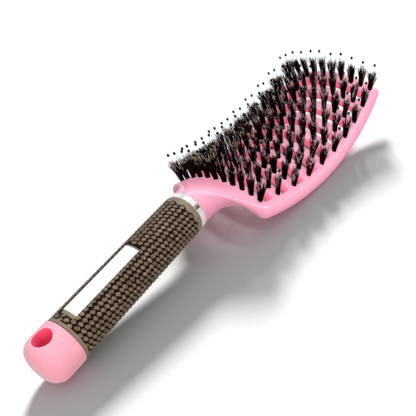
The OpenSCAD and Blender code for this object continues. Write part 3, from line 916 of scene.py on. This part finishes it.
def tuft_pattern(strand, count, seed):
    """A bundle of bristles on the origin: tight at its root, its tips gathered in a few ragged spikes."""
    chance = random.Random(seed)
    bm = bmesh.new()
    along = bm.verts.layers.float.new("along")
    tone = bm.verts.layers.float.new("tone")
    spikes, clumps = [], {}
    spread = chance.uniform(*SPIKE_LEAN)
    for c in range(SPIKES):
        a = 2 * math.pi * (c + chance.uniform(-SPIKE_PLACE_VARIES, SPIKE_PLACE_VARIES)) / SPIKES
        middle = c == SPIKES - 1
        reach = MIDDLE_REACH if middle else SPIKE_REACH
        lean = math.tan(math.radians(chance.gauss(MIDDLE_LEAN if middle else spread, LEAN_VARIES)))
        way = Vector((math.cos(a), math.sin(a), 0))
        spikes.append((way * reach, way * lean, chance.gauss(1.0, SPIKE_LENGTH_VARIES)))
    for n in range(count):
        first = len(bm.verts)
        bm.from_mesh(strand)
        bm.verts.ensure_lookup_table()
        out = math.sqrt((n + 0.5) / count)
        angle = n * STRAND_TURN + chance.uniform(-STRAND_TURN_VARIES, STRAND_TURN_VARIES)
        aim = Vector((math.cos(angle), math.sin(angle), 0))
        root = aim * out * ROOT_R
        core, lean, tall = min(spikes, key=lambda spike: (spike[0] - root).length)
        stray = Vector((chance.gauss(0, STRAND_ASTRAY), chance.gauss(0, STRAND_ASTRAY), 0))
        length = BRISTLE_LEN * tall * chance.triangular(*STRAND_SHARES)
        side = Vector((-aim.y, aim.x, 0))
        thick = chance.uniform(*STRAND_THICK)
        shade = clumps.setdefault((round(root.x / CLUMP), round(root.y / CLUMP)), chance.random())
        for v in bm.verts[first:]:
            t = v.co.z
            h = t * (length + ROOT_IN) - ROOT_IN
            push = max(0, h) / BRISTLE_LEN
            centre = core + (root - core) * (1 - GATHER * push * push) + (lean + stray * push) * max(0, h)
            centre.z = h
            size = thick * (1 - STRAND_TAPER * t * t)
            v.co = centre + (aim * v.co.x + side * v.co.y) * size
            v[along] = t
            v[tone] = shade
    return kept(bm)


def tuft_place(k, j):
    """Where tuft j of row k stands on the head, and how it leans."""
    share = 2 * j / (TUFTS - 1) - 1
    across = row_half(k) * share
    turn = row_turn(k) + ROW_BOW / FACE_R * share * share
    lean = -across / CROWN_R * LEAN_SHARE
    return (Matrix.Translation(head_point(turn, across, 0)) @ Matrix.Rotation(-TUFT_BACK, 4, "Y")
            @ Matrix.Rotation(lean, 4, "X"))


def wobble(degrees):
    """Two small random leans, in radians."""
    return [math.radians(dice.gauss(0, degrees)) for _ in range(2)]


def bristle_rows():
    strand = strand_pattern()
    tufts = [tuft_pattern(strand, STRANDS, seed) for seed in range(TUFT_KINDS)]
    for k in range(ROWS):
        bm = bmesh.new()
        for j in range(TUFTS):
            first = len(bm.verts)
            bm.from_mesh(dice.choice(tufts))
            bm.verts.ensure_lookup_table()
            turned_by = Euler((*wobble(TUFT_WOBBLE), dice.uniform(0, 2 * math.pi))).to_matrix().to_4x4()
            bmesh.ops.transform(bm, matrix=tuft_place(k, j) @ turned_by, verts=bm.verts[first:])
        piece(bm, f"bristles_{k + 1:02d}", [HAIR], [f"bristle_row_{k + 1:02d}"], sharp=60,
              turn_out=False)


def pin_pattern():
    """A clear shaft on the origin with a black ball on its tip."""
    bm = bmesh.new()
    shaft = PIN_LEN - BALL_R + ROOT_IN
    bmesh.ops.create_cone(bm, cap_ends=True, segments=8, radius1=PIN_R, radius2=PIN_R * PIN_TAPER,
                          depth=shaft)
    bmesh.ops.translate(bm, verts=bm.verts, vec=(0, 0, shaft / 2 - ROOT_IN))
    middle = Vector((0, 0, PIN_LEN - BALL_R))
    ball = bmesh.ops.create_icosphere(bm, subdivisions=2, radius=BALL_R,
                                      matrix=Matrix.Translation(middle))["verts"]
    for f in {f for v in ball for f in v.link_faces}:
        f.material_index = 1
    for v in ball:
        v.co = middle + BALL_SHAPE * (v.co - middle)
    return kept(bm)


def pin_rows():
    pattern = pin_pattern()
    for k in range(ROWS):
        bm = bmesh.new()
        for j in range(TUFTS):
            first = len(bm.verts)
            bm.from_mesh(pattern)
            bm.verts.ensure_lookup_table()
            leaned = Euler((*wobble(PIN_WOBBLE), 0)).to_matrix().to_4x4()
            stretch = Matrix.Diagonal((1, 1, dice.uniform(*PIN_STRETCH), 1))
            bmesh.ops.transform(bm, matrix=tuft_place(k, j) @ leaned @ stretch, verts=bm.verts[first:])
        piece(bm, f"pins_{k + 1:02d}", [NYLON, BALL], [f"pin_row_{k + 1:02d}"], sharp=60,
              turn_out=False)


head_shell()
cap_shell()
ring_shell()
grip_body()
collar("front_collar", -RING_W, -RING_W - FRONT_COLLAR, -0.6, 1.9, 0.75)
collar("rear_collar", JOINT_X, JOINT_X + REAR_COLLAR, 0, 0.6, 0.6)
label_border()
grip_pebbles()
bristle_rows()
pin_rows()

plate = frame["nodes"]["label_plate"]
plate.data.materials.clear()
plate.data.materials.append(WHITE)


# Camera at the photograph's angle
camera = bpy.data.objects.new("camera", bpy.data.cameras.new("camera"))
scene.collection.objects.link(camera)
camera.location = (-0.19330, -0.17818, 0.18498)
camera.rotation_euler = (0.96699, 0.18511, -0.92460)
camera.data.sensor_width = 36.0
camera.data.lens = 51.84
camera.data.clip_start = 0.01
scene.camera = camera


# Floor, sky, lamps and cards, in metres
FLOOR_HALF = 3.0
FLOOR_UNDER = 0.0002


def stage_piece(bm, name, finish):
    """A floor or card, which isn't part of the brush."""
    mesh = bpy.data.meshes.new(name)
    bm.to_mesh(mesh)
    bm.free()
    mesh.materials.append(finish)
    made = bpy.data.objects.new(name, mesh)
    scene.collection.objects.link(made)
    return made


def floor():
    """Pale grey floor that its own lamp lights to white. It glows only for reflections in the ring."""
    bm = bmesh.new()
    bmesh.ops.create_grid(bm, x_segments=1, y_segments=1, size=FLOOR_HALF)
    finish, tree, shader = base_material("floor_white", (0.72, 0.72, 0.72), 0.9, Specular_IOR_Level=0.0)
    path = tree.nodes.new("ShaderNodeLightPath")
    shader.inputs["Emission Color"].default_value = (0.45, 0.45, 0.45, 1)
    tree.links.new(path.outputs["Is Glossy Ray"], shader.inputs["Emission Strength"])
    made = stage_piece(bm, "floor", finish)
    made.location.z = -FLOOR_UNDER
    return made


SKY_STRENGTH = 0.52


def sky():
    """Even soft light on the brush, and plain white behind it, in reflections and through clear pins."""
    world = bpy.data.worlds.new("sky")
    scene.world = world
    world.use_nodes = True
    tree = world.node_tree
    out = tree.nodes["World Output"]
    glow = tree.nodes["Background"]
    glow.inputs["Color"].default_value = (1, 1, 1, 1)
    glow.inputs["Strength"].default_value = SKY_STRENGTH
    white = tree.nodes.new("ShaderNodeBackground")
    white.inputs["Color"].default_value = (1, 1, 1, 1)
    white.inputs["Strength"].default_value = 1.0
    path = tree.nodes.new("ShaderNodeLightPath")
    seen = tree.nodes.new("ShaderNodeMath")
    seen.operation = "MAXIMUM"
    seen_too = tree.nodes.new("ShaderNodeMath")
    seen_too.operation = "MAXIMUM"
    choose = tree.nodes.new("ShaderNodeMixShader")
    join(tree, (path.outputs["Is Camera Ray"], seen.inputs[0]),
         (path.outputs["Is Glossy Ray"], seen.inputs[1]), (seen.outputs["Value"], seen_too.inputs[0]),
         (path.outputs["Is Transmission Ray"], seen_too.inputs[1]),
         (seen_too.outputs["Value"], choose.inputs["Fac"]),
         (glow.outputs["Background"], choose.inputs[1]), (white.outputs["Background"], choose.inputs[2]),
         (choose.outputs["Shader"], out.inputs["Surface"]))


# Strength of each lamp, its width in degrees and the way that its light goes
KEY_LAMP = (1.68, 26, (-0.575, 0.01, -0.818))
FILL_LAMP = (1.95, 60, (0.66, 0.70, -0.40))
FLOOR_LAMP = (7.2, 12, (-0.74, -0.55, -0.50))


def lamp(name, strength, angle, toward):
    """A far lamp whose light doesn't bounce."""
    light = bpy.data.lights.new(name, "SUN")
    light.energy = strength
    light.angle = math.radians(angle)
    light.cycles.max_bounces = 0
    made = bpy.data.objects.new(name, light)
    scene.collection.objects.link(made)
    made.rotation_euler = Vector(toward).to_track_quat("-Z", "Y").to_euler()
    return made


def lamps(ground):
    """Key and fill light the brush alone, and the floor has a lamp of its own for its one plain shadow."""
    hairs = [one for one in scene.objects if one.name.startswith(("bristles_", "pins_"))]
    key = lamp("key", *KEY_LAMP)
    fill = lamp("fill", *FILL_LAMP)
    fill.visible_glossy = False
    shade = lamp("floor_key", *FLOOR_LAMP)
    # The bristles and pins keep the floor's lamp off the floor, but throw no shadow from the key
    for light, part, objects, state in ((key, "receiver_collection", [ground], "EXCLUDE"),
                                        (fill, "receiver_collection", [ground], "EXCLUDE"),
                                        (key, "blocker_collection", hairs, "EXCLUDE"),
                                        (shade, "receiver_collection", [ground], "INCLUDE")):
        group = bpy.data.collections.new(light.name + "_" + part)
        for one in objects:
            group.objects.link(one)
        setattr(light.light_linking, part, group)
        for entry in group.collection_objects:
            entry.light_linking.link_state = state


CARD_AWAY = 0.6
CARD_HALF = 0.15


def card(name, tone, first, last):
    """A studio card seen only in the metal ring, between two turns round the ring from the top."""
    ring = TO_ROW @ Vector((-RING_W / 2, 0, GRIP_R))
    to_camera = (Vector(camera.location) - ring).normalized()
    aims = []
    for degrees in (first, last):
        a = math.radians(degrees)
        normal = Matrix.Rotation(-TILT, 3, "Y") @ Vector((0, -math.sin(a), math.cos(a)))
        aims.append(2 * normal.dot(to_camera) * normal - to_camera)
    middle, span = (aims[0] + aims[1]) / 2 * CARD_AWAY, (aims[1] - aims[0]) * CARD_AWAY
    side = middle.cross(span).normalized() * CARD_HALF
    bm = bmesh.new()
    bmesh.ops.create_grid(bm, x_segments=1, y_segments=1, size=1)
    for v in bm.verts:
        v.co = ring + middle + span / 2 * v.co.x + side * v.co.y
    finish = base_material(name, (0, 0, 0), 0.9, Specular_IOR_Level=0.0,
                           Emission_Color=(tone, tone, tone, 1), Emission_Strength=1.0)[0]
    made = stage_piece(bm, name, finish)
    for ray in ("visible_camera", "visible_diffuse", "visible_shadow", "visible_transmission"):
        setattr(made, ray, False)


for name, tone, first, last in (("light_card", 0.8, 4, 26), ("pale_card", 0.58, 28, 36),
                                ("grey_card", 0.35, 50, 56), ("dark_card", 0.08, 56, 64),
                                ("thin_card", 0.14, 69, 71)):
    card(name, tone, first, last)
lamps(floor())
sky()
scene.view_settings.view_transform = "Standard"
